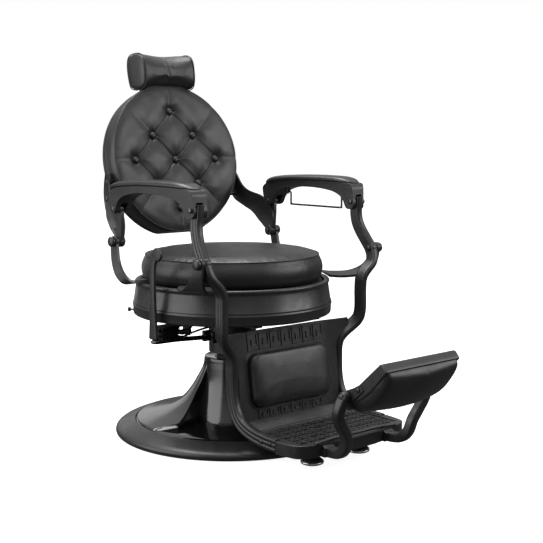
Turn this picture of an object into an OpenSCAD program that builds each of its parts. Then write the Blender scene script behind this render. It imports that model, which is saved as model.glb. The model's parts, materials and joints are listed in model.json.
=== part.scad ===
// Hydraulic barber chair: round base, pump column, swivelling round seat,
// reclining tufted back, armrests, and a leg frame that rises with the recline.
// +X is the sitter's left, -Y is the front, +Z is up; the origin is on the
// swivel axis at floor level. Millimetres.

/* [Base and column] */
// Radius of the base plate
base_r = 355; // [330:1:370]
// Height of the pedestal's round rim
pedestal_top = 230; // [215:1:240]
// Radius of the pedestal's round column
pedestal_r = 86; // [82:1:92]
// Radius of the hydraulic ram
ram_r = 35; // [28:0.5:38]
// Turn of the base under the seat, degrees
base_turn = -40.7; // [-180:0.1:180]
// Radius of the pump housing
housing_r = 72; // [66:1:78]

/* [Seat] */
// Height of the seat pan's underside
seat_floor = 378; // [376:1:384]
// Largest radius of the seat ring
ring_r = 299; // [290:1:302]
// Height of the seat ring's lip
ring_top = 467; // [460:1:470]
// Radius of the seat cushion
cushion_r = 272; // [262:1:274]
// Height of the seat cushion's crown
cushion_top = 552; // [545:1:556]

/* [Back] */
// Tilt of the back from upright, degrees
back_tilt = 11; // [8:0.5:12]
// Radius of the round back
back_r = 240; // [232:1:244]
// Distance between neighbouring back buttons
button_pitch = 110; // [90:1:112]

/* [Armrests] */
// Distance of each armrest from the middle plane
arm_x = 298; // [296:1:300]
// Width of an armrest casting
arm_w = 58; // [54:1:58]

/* [Leg frame] */
// Width of the flat bars across the chair
bar_w = 20; // [16:1:20]
// Depth of the flat bars
bar_d = 33; // [28:1:34]
// Width of the calf cushion
calf_w = 290; // [240:1:310]
// Half width of the flip-over leg pad
pad_half = 138; // [120:1:138]

/* [Hidden] */
$fn = 96;
eps = 0.01;
run_gap = 0.05;       // radial clearance of a running fit
side_gap = 0.5;       // gap between plates that slide past each other
fork_gap = 1.5;       // gap on each side of a bar in an armrest's fork
arc_fn = 32;          // facets of a hull's own children

// pivots, as [y, z]
front_pivot = [-277, 557];
front_pin = [-227, 694];
rear_pivot = [165, 583];
rear_pin = [152, 680];
pad_pivot = [-639, 241];
pivot_r = 7;
arm_pin_r = 5;
loose_gap = 2.4;      // clearance of the opened linkage pivot
pivot_x = 312;        // middle of the leg bar at its pivot
rear_x = 291;         // middle of the back arm's eye

floor_gap = 13;       // stop feet above the floor at the lowest seat height
plate_top = 30;
cover_top = 44;
cover_r = 295;
cylinder_r = 50;
cylinder_bore = 38.5;
flange_r = 70;
housing_z = 245;
housing_top = 350;
washer_top = 343.8;
rail_x = 110;
rail_z = 358;
pan_top = 384;
board_z = 452;
board_top = 462;
ring_bottom = 366;    // the ring's skirt hides the ends of the rails
lip_in = 276;
ring_in = 284;
bracket_t = 12;
shell_t = [55, 78];   // front and rear of the back shell, along the back's normal
back_origin = [281, 816];
back_drop = 0;        // middle of the round back above the middle button
back_cut = -232;      // lowest point of the back, clear of the seat as it reclines
panel_t = 6;
panel_tilt = 8.8;
platform_z = [60, 95];
bar_low_x = 200;
towel_z = 714;
towel_x = 283;
wire_r = 3;
lock_r = 9.9;
pump_pivot = [-84, 296];
lever_pivot = [-42, 334];
lever_x = -322;

// ---- shared shapes ----
function cr(a, b, c, d, t) = 0.5 * (2 * b + (c - a) * t + (2 * a - 5 * b + 4 * c - d) * t * t
    + (3 * b - a - 3 * c + d) * t * t * t);
function spline(p, n) = concat([for (i = [0 : len(p) - 2]) for (j = [0 : n - 1])
    cr(p[max(i - 1, 0)], p[i], p[i + 1], p[min(i + 2, len(p) - 1)], j / n)], [p[len(p) - 1]]);
function side(p, i) = let (a = p[max(i - 1, 0)], b = p[min(i + 1, len(p) - 1)], d = b - a)
    [-d[1], d[0]] / norm(d);
function ribbon(p, w) = concat([for (i = [0 : len(p) - 1]) p[i] + side(p, i) * w / 2],
    [for (i = [len(p) - 1 : -1 : 0]) p[i] - side(p, i) * w / 2]);

module along_x(x0, x1) translate([x0, 0, 0]) rotate([90, 0, 90]) linear_extrude(x1 - x0) children();
module along_y(y0, y1) translate([0, y1, 0]) rotate([90, 0, 0]) linear_extrude(y1 - y0) children();
module rod_x(r, x0, x1, at) translate([x0, at[0], at[1]]) rotate([0, 90, 0]) cylinder(r = r, h = x1 - x0);
module rod_y(r, y0, y1, x, z) translate([x, y0, z]) rotate([-90, 0, 0]) cylinder(r = r, h = y1 - y0);
module box(lo, hi) translate(lo) cube(hi - lo);
module both() { children(); mirror([1, 0, 0]) children(); }
module hex_bolt(r, h) cylinder(r = r, h = h, $fn = 6);
module rounded(w, h, r) hull() for (x = [-1, 1], y = [-1, 1])
    translate([x * (w / 2 - r), y * (h / 2 - r)]) circle(r);
// the back's own frame: X across, Y along the normal to the rear, Z up the back
module back_frame() translate([0, back_origin[0], back_origin[1]]) rotate([-back_tilt, 0, 0]) children();

// ---- base ----
module base_plate() color("#1c1c1e") rotate_extrude() polygon([[0, 0], [base_r - 15, 0], [base_r - 4, 4],
    [base_r, 12], [base_r - 3, 20], [base_r - 18, 28], [base_r - 38, 36], [cover_r + 4, 42],
    [cover_r, 42], [cover_r, plate_top], [0, plate_top]]);

module base_cover() color("#0a0a0b") translate([0, 0, plate_top]) difference() {
    cylinder(r = cover_r, h = cover_top - plate_top);
    translate([0, 0, -1]) cylinder(r = flange_r + 2, h = 30);
}

trumpet = [[pedestal_r, pedestal_top], [pedestal_r + 1, 212], [106, 172], [124, 137], [148, 104], [172, 84],
    [203, 70], [250, 58], [292, 51]];
wing = [[60, 30], [84, 52], [108, 72], [135, 130], [153, 183], [228, 184], [270, 110], [290, 0]];
module pedestal_cover() color("#2a2a2c") rotate([0, 0, base_turn]) difference() {
    union() {
        translate([0, 0, cover_top]) cylinder(r = pedestal_r, h = pedestal_top - cover_top);
        intersection() {
            rotate_extrude() polygon(concat([[0, cover_top], [0, pedestal_top]], spline(trumpet, 3), [[292, cover_top]]));
            translate([0, 0, cover_top]) linear_extrude(pedestal_top) both_wings();
        }
    }
    translate([0, 0, cover_top - 1]) cylinder(r = flange_r + 4, h = pedestal_top - cover_top - 6);
    cylinder(r = cylinder_r + 2, h = pedestal_top + 10);
}
module both_wings() for (a = [0, 180]) rotate(a)
    polygon(concat(wing, [for (i = [len(wing) - 2 : -1 : 0]) [wing[i][0], -wing[i][1]]]));

module pump_cylinder() color("#8a8d90") translate([0, 0, plate_top]) difference() {
    union() {
        cylinder(r = flange_r, h = 8);
        cylinder(r = cylinder_r, h = pedestal_top - plate_top - 4);
    }
    translate([0, 0, 2]) cylinder(r = cylinder_bore, h = pedestal_top);
}

module ring(r0, r1, z0, z1) translate([0, 0, z0]) difference() {
    cylinder(r = r1, h = z1 - z0);
    translate([0, 0, -1]) cylinder(r = r0, h = z1 - z0 + 2);
}
module guide_bush() color("#b08d57") ring(ram_r + run_gap, cylinder_bore, 206, pedestal_top - 4);
module ram_wiper() color("#141414") ring(ram_r + 0.4, cylinder_r - 2, pedestal_top - 4, pedestal_top + 2);
module base_bolts() color("#3a3a3c") for (a = [0 : 60 : 300]) rotate([0, 0, a])
    translate([60, 0, plate_top + 8]) hex_bolt(7, 5);

// ---- lift ----
module ram() color("#d0d2d6") translate([0, 0, 34]) cylinder(r = ram_r, h = 338 - 34);
module ram_piston() color("#8a8d90") ring(ram_r, cylinder_bore - run_gap, 36, 52);
module thrust_washer() color("#b08d57") translate([0, 0, 338]) cylinder(r = 33, h = washer_top - 338);

// ---- seat ----
module pump_housing() color("#1b1b1d") difference() {
    union() {
        translate([0, 0, housing_z]) cylinder(r = housing_r, h = housing_top - housing_z);
        box([-pump_pivot_reach(), -26, 280], [0, 26, 312]);
    }
    translate([0, 0, housing_z - 1]) cylinder(r = ram_r + run_gap, h = 344 - housing_z + 1);
    box([-pump_pivot_reach() - 1, -16, 270], [-housing_r - 1, 16, 320]);
    rod_y(4.05, -40, 40, pump_pivot[0], pump_pivot[1]);
}
function pump_pivot_reach() = -pump_pivot[0] + 12;
module swivel_plate() color("#232325") box([-130, -120, housing_top], [130, 120, rail_z]);
module seat_rails() color("#1b1b1d") both() difference() {
    box([rail_x - 15, -252, rail_z], [rail_x + 15, 252, seat_floor]);
    box([rail_x - 11, -253, rail_z + 4], [rail_x + 16, 253, seat_floor - 4]);
}
module rail_bolts() color("#3a3a3c") both() for (y = [-90, 90]) translate([rail_x + 4, y, rail_z + 4]) hex_bolt(6, 6);
module seat_ring() color("#2b2b2d") rotate_extrude() polygon([[ring_in, ring_bottom], [ring_r - 4, ring_bottom],
    [ring_r - 1, seat_floor + 10], [ring_r - 1, seat_floor + 14], [ring_r, seat_floor + 17],
    [ring_r - 3, seat_floor + 21], [289, 454], [292, 459], [291, 464], [287, ring_top], [lip_in, ring_top],
    [lip_in, 459], [ring_in, 456]]);
module seat_pan() color("#232325") translate([0, 0, seat_floor]) cylinder(r = ring_in, h = pan_top - seat_floor);
module seat_supports() color("#232325") for (a = [45 : 90 : 315]) rotate([0, 0, a]) translate([0, 0, pan_top])
    box([236, -20, 0], [256, 20, board_z - pan_top]);
module seat_board() color("#6b5238") translate([0, 0, board_z]) cylinder(r = 270, h = board_top - board_z);
module seat_cushion() color("#222224") rotate_extrude() polygon([[0, board_top], [cushion_r - 4, board_top],
    [cushion_r, 480], [cushion_r, 500], [cushion_r - 5, 519], [215, 544], [120, cushion_top - 2], [0, cushion_top]]);

// brackets stand on the ring's lip and carry the pivots outside the bars
eye_in = pivot_x + bar_w / 2 + side_gap;
rear_eye_in = rear_x + bar_w / 2 + side_gap;
module front_bracket() difference() {
    union() {
        hull() {
            translate([262, -112, ring_top]) cylinder(r = 6, h = 8, $fn = arc_fn);
            translate([217, -184, ring_top]) cylinder(r = 6, h = 8, $fn = arc_fn);
            translate([eye_in, front_pivot[0], front_pivot[1]]) rotate([0, 90, 0])
                cylinder(r = 15, h = bracket_t, $fn = arc_fn);
        }
        rod_x(17, eye_in, eye_in + bracket_t, front_pivot);
    }
    rod_x(39, 180, eye_in, front_pivot);
    rod_x(pivot_r, 180, 400, front_pivot);
    translate([0, 0, ring_top - 40]) cylinder(r = cushion_r + 4, h = 120);
}
module front_bracket_left() color("#232325") front_bracket();
module front_bracket_right() color("#232325") mirror([1, 0, 0]) front_bracket();
rear_strap = [[66, ring_top + 6], [112, 480], [150, 508], [167, 545], rear_pivot];
module rear_bracket() difference() {
    union() {
        along_x(rear_eye_in, rear_eye_in + bracket_t) {
            polygon(ribbon(spline(rear_strap, 3), 30));
            translate(rear_pivot) circle(17);
        }
        box([258, 44, ring_top], [rear_eye_in + bracket_t, 104, ring_top + 8]);
    }
    rod_x(pivot_r, 180, 400, rear_pivot);
    box([200, 20, 400], [400, 200, ring_top]);
    translate([0, 0, ring_top - 40]) cylinder(r = cushion_r + 4, h = 120);
}
module rear_bracket_left() color("#232325") rear_bracket();
module rear_bracket_right() color("#232325") mirror([1, 0, 0]) rear_bracket();
module pivot_pin(eye, bar_mid, at) {
    rod_x(pivot_r, bar_mid - bar_w / 2 - 1, eye + bracket_t, at);
    rod_x(15, eye + bracket_t, eye + bracket_t + 12, at);
    rod_x(10, bar_mid - bar_w / 2 - 6, bar_mid - bar_w / 2 - side_gap, at);
}
module front_pivot_pins() color("#2e2e30") both() pivot_pin(eye_in, pivot_x, front_pivot);
module rear_pivot_pins() color("#2e2e30") both() pivot_pin(rear_eye_in, rear_x, rear_pivot);

module lever_bracket() color("#161617") difference() {
    union() {
        box([-300, -70, 352], [-130, -14, rail_z]);
        box([-300, -58, 322], [-294, -26, 352]);
        box([-206, -58, 322], [-200, -26, 352]);
    }
    rod_x(6 + run_gap, -400, -100, lever_pivot);
}
module lever_shaft() color("#3a3a3c") {
    rod_x(6, lever_x + 8, -190, lever_pivot);
    rod_x(9, -198, -192, lever_pivot);
}
module return_spring() color("#b9bcc0") translate([-160, 6, 318]) rotate_extrude()
    polygon(concat([[0, 0]], [for (i = [0 : 12]) [i % 2 == 0 ? 5 : 8, i * 34 / 12]], [[0, 34]]));
module lock_housing() color("#1b1b1d") rod_y(lock_r, -218, 60, 60, seat_floor - lock_r);
module tilt_release() color("#161617") {
    rod_y(3, -20, 150, -200, 372);
    translate([-200, 150, 372]) sphere(5);
}

// ---- pump lever: a hairpin of round rod ----
hair_y = 17;
hair_end = -292;
module pump_lever() color("#202022") difference() {
    union() {
        box([pump_pivot[0] - 14, -15, 288], [pump_pivot[0] + 8, 15, 304]);
        for (y = [-9, 9]) translate([pump_pivot[0] - 12, y, pump_pivot[1]]) rotate([0, -90, 0])
            cylinder(r = 5, h = -hair_end + pump_pivot[0] - 12 + eps);
        translate([hair_end, 0, pump_pivot[1]]) rotate([0, 0, 90]) rotate_extrude(angle = 180)
            translate([9, 0]) circle(5);
    }
    rod_y(4.05, -40, 40, pump_pivot[0], pump_pivot[1]);
}
module pump_knob() color("#c8c8ca") rod_y(4, -30, 30, pump_pivot[0], pump_pivot[1]);

// ---- recline lever ----
lever_line = [[-42, 312], [-42, 400], [-46, 500], [-50, 540], [-66, 562], [-90, 568]];
module recline_lever() color("#232325") difference() {
    along_x(lever_x, lever_x + 8) union() {
        polygon(ribbon(spline(lever_line, 4), 30));
        translate(lever_pivot) circle(24);
    }
    rod_x(6, -400, -100, lever_pivot);
}

// ---- back ----
module back_shell() color("#1d1d1f") back_frame() intersection() {
    translate([0, shell_t[0], back_drop]) rotate([-90, 0, 0]) cylinder(r = back_r + 6, h = shell_t[1] - shell_t[0]);
    box([-300, 0, back_cut], [300, 100, 300]);
}
module back_cushion() color("#222224") back_frame() intersection() {
    translate([0, 0, back_drop]) rotate([-90, 0, 0]) cylinder(r = back_r, h = shell_t[0]);
    box([-300, -10, back_cut], [300, 100, 300]);
}
button_rows = [[0, 2], [-1, 1], [1, 1], [-2, 0], [0, 0], [2, 0], [-1, -1], [1, -1], [0, -2]];
module back_buttons() color("#2e2e30") back_frame() for (b = button_rows)
    translate([b[0] * button_pitch * 0.7, -4, b[1] * button_pitch * 0.7]) rotate([-90, 0, 0]) cylinder(r = 11, h = 4);
web_top = [[176, 600], [186, 650], [212, 706], [250, 752], [300, 790], [324, 860], [298, 872], [240, 850], [206, 790],
    [178, 730], [150, 690], [140, 640], [146, 600]];
module back_arm() difference() {
    union() {
        along_x(rear_x - bar_w / 2, rear_x + bar_w / 2) {
            polygon([[151, 583], [179, 583], [168, 630], [166, 652], [143, 652], [146, 630]]);
            translate(rear_pivot) circle(17);
        }
        along_x(arm_x - bar_w / 2 + side_gap, arm_x + bar_w / 2 - side_gap) {
            polygon([[148, 625], [169, 625], [164, 680], [140, 680]]);
            translate(rear_pin) circle(13);
        }
        along_x(254, 266) polygon(spline(web_top, 2));
        box([265, 146, 604], [rear_x - bar_w / 2 + 1, 170, 646]);
    }
    rod_x(pivot_r + run_gap, 200, 400, rear_pivot);
    rod_x(arm_pin_r + run_gap, 200, 400, rear_pin);
    box([262, 100, 600], [268.4, 190, 604]);
}
module back_arm_left() color("#232325") back_arm();
module back_arm_right() color("#232325") mirror([1, 0, 0]) back_arm();

post_x = 45;
post_y = 90;
post_r = 6;
pillow_rear = 66;
pillow_half = 98;
module headrest_sockets() color("#1b1b1d") back_frame() both() difference() {
    union() {
        translate([post_x, post_y, 110]) cylinder(r = 12, h = 110);
        box([post_x - 20, shell_t[1], 110], [post_x + 20, post_y - post_r - 1, 220]);
    }
    translate([post_x, post_y, 100]) cylinder(r = post_r + run_gap, h = 130);
}
module headrest_posts() color("#3a3a3c") back_frame() both()
    translate([post_x, post_y, 100]) cylinder(r = post_r, h = 164);
module headrest_bracket() color("#1b1b1d") back_frame() difference() {
    union() {
        box([-60, pillow_rear, 254], [60, post_y + 12, 262]);
        box([-60, pillow_rear, 262], [60, pillow_rear + 6, 306]);
    }
    both() translate([post_x, post_y, 240]) cylinder(r = post_r, h = 40);
}
pillow_line = [[-2, 248], [-2, 226], [-20, 228], [-34, 250], [-36, 306], [-24, 326], [0, 338], [42, 342], [60, 332],
    [pillow_rear, 306], [pillow_rear, 254], [60, 248]];
module headrest_pillow() color("#222224") back_frame() along_x(-pillow_half, pillow_half) polygon(pillow_line);

// ---- armrests ----
frame_top = [[196, 722], [150, 741], [60, 751], [-60, 754], [-170, 753], [-238, 748]];
frame_under = [[-243, 700], [-241, 673], [-206, 673], [-198, 700], [-176, 720], [-120, 729], [-30, 733], [60, 727],
    [112, 712], [128, 692], [133, 668], [172, 668], [188, 694]];
pad_top = [[184, 738], [140, 758], [60, 768], [-60, 770], [-170, 768], [-231, 757]];
module arm_slab() along_x(arm_x - arm_w / 2, arm_x + arm_w / 2)
    polygon(concat(spline(frame_top, 3), frame_under));
module armrest_frame(with_lugs) difference() {
    union() {
        arm_slab();
        if (with_lugs) for (y = [[66, 82], [-197, -185]]) box([towel_x - 6, y[0], towel_z - 6], [towel_x + 6, y[1], 728]);
    }
    for (y = [[-280, -190], [120, 210]])
        box([arm_x - bar_w / 2 - fork_gap, y[0], 640], [arm_x + bar_w / 2 + fork_gap, y[1], y[0] < 0 ? 722 : 700]);
    rod_x(arm_pin_r, 200, 400, rear_pin);
    rod_x(arm_pin_r, 200, 400, front_pin);
    if (with_lugs) rod_y(wire_r + run_gap, -230, 100, towel_x, towel_z);
}
module arm_pad() intersection() {
    along_x(200, 400) polygon(concat(spline(pad_top, 3), [for (i = [15 : -1 : 0]) spline(frame_top, 3)[i]]));
    translate([arm_x, -24, 700]) linear_extrude(100) rounded(72, 412, 34);
}
module arm_pins() for (at = [rear_pin, front_pin]) {
    rod_x(arm_pin_r, arm_x - arm_w / 2, arm_x + arm_w / 2, at);
    rod_x(8, arm_x - arm_w / 2 - 3, arm_x - arm_w / 2, at);
    rod_x(8, arm_x + arm_w / 2, arm_x + arm_w / 2 + 3, at);
}
module armrest_frame_left() color("#232325") armrest_frame(true);
module arm_pad_left() color("#1d1d1f") arm_pad();
module armrest_pins_left() color("#2e2e30") arm_pins();
module armrest_frame_right() color("#232325") mirror([1, 0, 0]) armrest_frame(false);
module arm_pad_right() color("#1d1d1f") mirror([1, 0, 0]) arm_pad();
module armrest_pins_right() color("#2e2e30") mirror([1, 0, 0]) arm_pins();
towel_ends = [52, -178];
towel_drop = 674;
module towel_bar() color("#161617") {
    rod_y(wire_r, towel_ends[0], 86, towel_x, towel_z);
    rod_y(wire_r, -200, towel_ends[1], towel_x, towel_z);
    rod_y(wire_r, towel_ends[1], towel_ends[0], towel_x, towel_drop);
    for (y = towel_ends) {
        translate([towel_x, y, towel_drop]) cylinder(r = wire_r, h = towel_z - towel_drop);
        for (z = [towel_drop, towel_z]) translate([towel_x, y, z]) sphere(wire_r);
    }
}

// ---- leg frame ----
bar_side = [[-226, 712], [-227, 680], [-236, 630], [-262, 585], [-284, 545], [-288, 510], [-283, 470],
    [-282, 380], [-274, 348], [-254, 312], [-247, 280], [-246, 230], [-252, 170], [-266, 132], [-292, 104],
    [-340, 88], [-390, 82], [-440, 80]];
bar_front = [[arm_x, 712], [arm_x, 680], [302, 630], [309, 590], [pivot_x, 557], [306, 522], [276, 494], [263, 472],
    [262, 440], [262, 376], [252, 346], [212, 308], [bar_low_x, 284], [bar_low_x, 240], [bar_low_x, 60]];
module leg_bar() difference() {
    union() {
        intersection() {
            along_x(150, 350) polygon(ribbon(spline(bar_side, 2), bar_d));
            along_y(-460, -190) polygon(ribbon(spline(bar_front, 2), bar_w));
        }
        rod_x(16.5, pivot_x - bar_w / 2, pivot_x + bar_w / 2, front_pivot);
    }
    rod_x(pivot_r + run_gap, 200, 400, front_pivot);
    rod_x(arm_pin_r + loose_gap, 200, 400, front_pin);
    box([200, -260, 711], [400, -190, 740]);
}
module leg_bar_left() color("#232325") leg_bar();
module leg_bar_right() color("#232325") mirror([1, 0, 0]) leg_bar();
bar_in = bar_low_x - bar_w / 2;
panel_outline = [[bar_in, 12], [bar_in, 172], [206, 200], [226, 222], [228, 254]];
module panel_frame() translate([0, -271, 99]) rotate([90 - panel_tilt, 0, 0]) children();
module calf_panel() color("#1f1f21") difference() {
    panel_frame() translate([0, 0, -panel_t / 2]) linear_extrude(panel_t) polygon(concat([[140, 0]], panel_outline,
        [for (i = [len(panel_outline) - 1 : -1 : 0]) [-panel_outline[i][0], panel_outline[i][1]]], [[-140, 0]]));
    both() leg_bar();
}
module calf_cushion() color("#222224") panel_frame()
    translate([0, 112, panel_t / 2]) linear_extrude(26) rounded(calf_w, 156, 26);
platform_edge = [[bar_in, -336], [bar_in, -441], [212, -441], [200, -515], [172, -533], [60, -546]];
module foot_platform() color("#1f1f21") translate([0, 0, platform_z[0]])
    linear_extrude(platform_z[1] - platform_z[0]) polygon(concat(platform_edge,
        [for (i = [len(platform_edge) - 1 : -1 : 0]) [-platform_edge[i][0], platform_edge[i][1]]]));
module bar_bolts() color("#2e2e30") both() for (y = [-383, -418])
    rod_x(6, bar_low_x + bar_w / 2, bar_low_x + bar_w / 2 + 3, [y, 81]);
module stop_feet() color("#141414") both() translate([88, -452, 0]) {
    translate([0, 0, floor_gap]) cylinder(r = 30, h = 12);
    translate([0, 0, floor_gap + 12]) cylinder(r = 14, h = platform_z[0] - floor_gap - 12);
}
arm_side = [[-470, 50], [-548, 52], [-590, 62], [-612, 96], [-614, 140], [-598, 170], [-592, 196], [-606, 224], [-639, 241]];
arm_front = [[112, 30], [113, 62], [122, 100], [136, 150], [150, 196], [152.5, 220], [152.5, 262]];
module pad_arms() color("#232325") both() difference() {
    union() {
        intersection() {
            along_x(90, 180) polygon(ribbon(spline(arm_side, 2), 22));
            along_y(-680, -460) polygon(ribbon(spline(arm_front, 2), bar_w));
        }
        rod_x(14, 142.5, 162.5, pad_pivot);
    }
    rod_x(4 + run_gap, 100, 200, pad_pivot);
    box([60, -560, platform_z[0]], [200, -400, 140]);
}

// ---- flip-over leg pad, in its own frame at the pivot ----
module pad_frame() translate([0, pad_pivot[0], pad_pivot[1]]) rotate([-42, 0, 0]) children();
module leg_pad_tray() color("#2b2b2d") pad_frame() box([-pad_half, -152, -22], [pad_half, 26, 2]);
module leg_pad_cushion() color("#222224") pad_frame() along_x(-pad_half + 3, pad_half - 3)
    polygon([[-149, -22], [-146, -34], [-120, -46], [-60, -52], [-8, -48], [18, -36], [23, -22]]);
module leg_pad_hinges() color("#2e2e30") pad_frame() both() {
    box([pad_half, -56, -20], [pad_half + 3, 14, 12]);
    rod_x(4, pad_half + 3, 166, [0, 0]);
    rod_x(8, 163.5, 168, [0, 0]);
    rod_x(6, pad_half + 3, pad_half + 6, [-42, -8]);
}

base_plate();
base_cover();
pedestal_cover();
pump_cylinder();
guide_bush();
ram_wiper();
base_bolts();
ram();
ram_piston();
thrust_washer();
pump_housing();
swivel_plate();
seat_rails();
seat_ring();
seat_pan();
seat_supports();
seat_board();
seat_cushion();
rail_bolts();
front_bracket_left();
front_bracket_right();
rear_bracket_left();
rear_bracket_right();
front_pivot_pins();
rear_pivot_pins();
lever_bracket();
return_spring();
lock_housing();
tilt_release();
pump_lever();
pump_knob();
recline_lever();
lever_shaft();
back_shell();
back_cushion();
back_buttons();
back_arm_left();
back_arm_right();
headrest_sockets();
headrest_posts();
headrest_bracket();
headrest_pillow();
armrest_frame_left();
arm_pad_left();
armrest_pins_left();
towel_bar();
armrest_frame_right();
arm_pad_right();
armrest_pins_right();
leg_bar_left();
leg_bar_right();
calf_panel();
calf_cushion();
foot_platform();
bar_bolts();
stop_feet();
pad_arms();
leg_pad_tray();
leg_pad_cushion();
leg_pad_hinges();
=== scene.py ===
"""Hydraulic barber chair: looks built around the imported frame. Sizes in millimetres unless a name says otherwise."""
import json
import math

import bmesh
import bpy
import numpy as np
from mathutils import Matrix, Vector


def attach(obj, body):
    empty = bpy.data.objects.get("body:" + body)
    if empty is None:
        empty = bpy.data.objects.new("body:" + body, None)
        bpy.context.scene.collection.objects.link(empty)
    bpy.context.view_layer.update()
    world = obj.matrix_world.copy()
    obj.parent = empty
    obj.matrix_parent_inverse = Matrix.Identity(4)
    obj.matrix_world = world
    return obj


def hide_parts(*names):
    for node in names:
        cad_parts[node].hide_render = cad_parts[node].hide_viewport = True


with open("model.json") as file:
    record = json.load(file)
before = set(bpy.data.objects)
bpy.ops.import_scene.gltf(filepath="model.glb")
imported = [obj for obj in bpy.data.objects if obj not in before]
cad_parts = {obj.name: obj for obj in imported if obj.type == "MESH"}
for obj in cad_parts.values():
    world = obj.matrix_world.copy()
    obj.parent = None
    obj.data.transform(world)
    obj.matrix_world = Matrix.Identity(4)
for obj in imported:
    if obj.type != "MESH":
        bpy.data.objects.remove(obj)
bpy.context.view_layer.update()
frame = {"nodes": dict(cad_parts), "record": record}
MM = 0.001

# ---------------------------------------------------------------- materials


class Nodes:
    """A short way to build a node material."""

    def __init__(self, name):
        self.mat = bpy.data.materials.new(name)
        self.mat.use_nodes = True
        self.tree = self.mat.node_tree
        self.bsdf = self.tree.nodes["Principled BSDF"]
        self.coord = self.add("ShaderNodeTexCoord").outputs["Object"]

    def add(self, kind, **values):
        node = self.tree.nodes.new(kind)
        for key, value in values.items():
            if key in node.inputs:
                node.inputs[key].default_value = value
            else:
                setattr(node, key, value)
        return node

    def link(self, out, into):
        self.tree.links.new(out, into)

    def noise(self, scale, detail=3.0, rough=0.5):
        node = self.add("ShaderNodeTexNoise", Scale=scale, Detail=detail, Roughness=rough)
        self.link(self.coord, node.inputs["Vector"])
        return node.outputs["Fac"]

    def cells(self, scale, feature="F1"):
        node = self.add("ShaderNodeTexVoronoi", Scale=scale, feature=feature)
        self.link(self.coord, node.inputs["Vector"])
        return node.outputs["Distance"]

    def span(self, value, low, high, to_low, to_high):
        node = self.add("ShaderNodeMapRange")
        for key, number in (("From Min", low), ("From Max", high), ("To Min", to_low), ("To Max", to_high)):
            node.inputs[key].default_value = number
        self.link(value, node.inputs["Value"])
        return node.outputs["Result"]

    def ramp(self, value, low, high, dark, light):
        node = self.add("ShaderNodeValToRGB")
        node.color_ramp.elements[0].position = low
        node.color_ramp.elements[1].position = high
        node.color_ramp.elements[0].color = (*dark, 1)
        node.color_ramp.elements[1].color = (*light, 1)
        self.link(value, node.inputs["Fac"])
        return node.outputs["Color"]

    def painted_edge_highlight(self, color, edge):
        """Painted highlight: sharp edges are given a lighter colour, standing in for the light they catch."""
        geometry = self.add("ShaderNodeNewGeometry")
        edge_highlight_mask = self.span(geometry.outputs["Pointiness"], 0.56, 0.7, 0.0, 1.0)
        mix = self.add("ShaderNodeMix", data_type="RGBA")
        self.link(edge_highlight_mask, mix.inputs["Factor"])
        self.link(color, mix.inputs[6])
        mix.inputs[7].default_value = (*edge, 1)
        return mix.outputs[2]

    def bumps(self, *layers):
        """Each layer is (height output, distance in metres, strength)."""
        normal = None
        for height, distance, strength in layers:
            bump = self.add("ShaderNodeBump", Strength=strength, Distance=distance)
            self.link(height, bump.inputs["Height"])
            if normal:
                self.link(normal, bump.inputs["Normal"])
            normal = bump.outputs["Normal"]
        self.link(normal, self.bsdf.inputs["Normal"])

    def shade(self, color=None, roughness=None, **fixed):
        if color:
            self.link(color, self.bsdf.inputs["Base Color"])
        if roughness:
            self.link(roughness, self.bsdf.inputs["Roughness"])
        for key, value in fixed.items():
            self.bsdf.inputs[key.replace("_", " ")].default_value = value
        return self.mat


def leather(name, dark, light, rough):
    n = Nodes(name)
    color = n.ramp(n.noise(9, 4), 0.3, 0.75, dark, light)
    creases = n.noise(55, 6, 0.6)
    grain = n.cells(900)
    pores = n.noise(2600, 2)
    n.bumps((creases, 0.0012, 0.25), (grain, 0.00025, 0.45), (pores, 0.0001, 0.3))
    return n.shade(color, n.span(n.noise(30, 5), 0.25, 0.8, rough - 0.06, rough + 0.1), Specular_IOR_Level=0.5)


def coated_metal(name, dark, light, edge, rough, grain=0.00018):
    n = Nodes(name)
    # the edge colour is a painted highlight laid on sharp edges
    color = n.painted_edge_highlight(n.ramp(n.noise(14, 5), 0.35, 0.7, dark, light), edge)
    n.bumps((n.noise(120, 2), 0.0002, 0.06), (n.noise(1500, 3), grain, 0.3))
    return n.shade(color, n.span(n.noise(45, 6), 0.3, 0.75, rough - 0.05, rough + 0.1), Specular_IOR_Level=0.5)


def gloss_paint(name, rough):
    n = Nodes(name)
    color = n.ramp(n.noise(6, 3), 0.35, 0.75, (0.006, 0.006, 0.0065), (0.012, 0.012, 0.013))
    n.bumps((n.noise(70, 2), 0.0003, 0.03), (n.noise(900, 2), 0.00004, 0.08))
    return n.shade(color, n.span(n.noise(25, 6), 0.3, 0.8, rough, rough + 0.07), Coat_Weight=0.5, Coat_Roughness=rough)


def bright_metal(name, color_low, color_high, rough):
    n = Nodes(name)
    color = n.ramp(n.noise(40, 4), 0.3, 0.8, color_low, color_high)
    n.bumps((n.noise(1200, 3), 0.00004, 0.15))
    return n.shade(color, n.span(n.noise(160, 5), 0.3, 0.8, rough, rough + 0.12), Metallic=1.0)


def rubber(name):
    n = Nodes(name)
    color = n.ramp(n.noise(30, 4), 0.3, 0.8, (0.012, 0.012, 0.012), (0.022, 0.022, 0.022))
    n.bumps((n.noise(1400, 3), 0.0002, 0.5))
    return n.shade(color, n.span(n.noise(80, 3), 0.3, 0.8, 0.6, 0.8))


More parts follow.
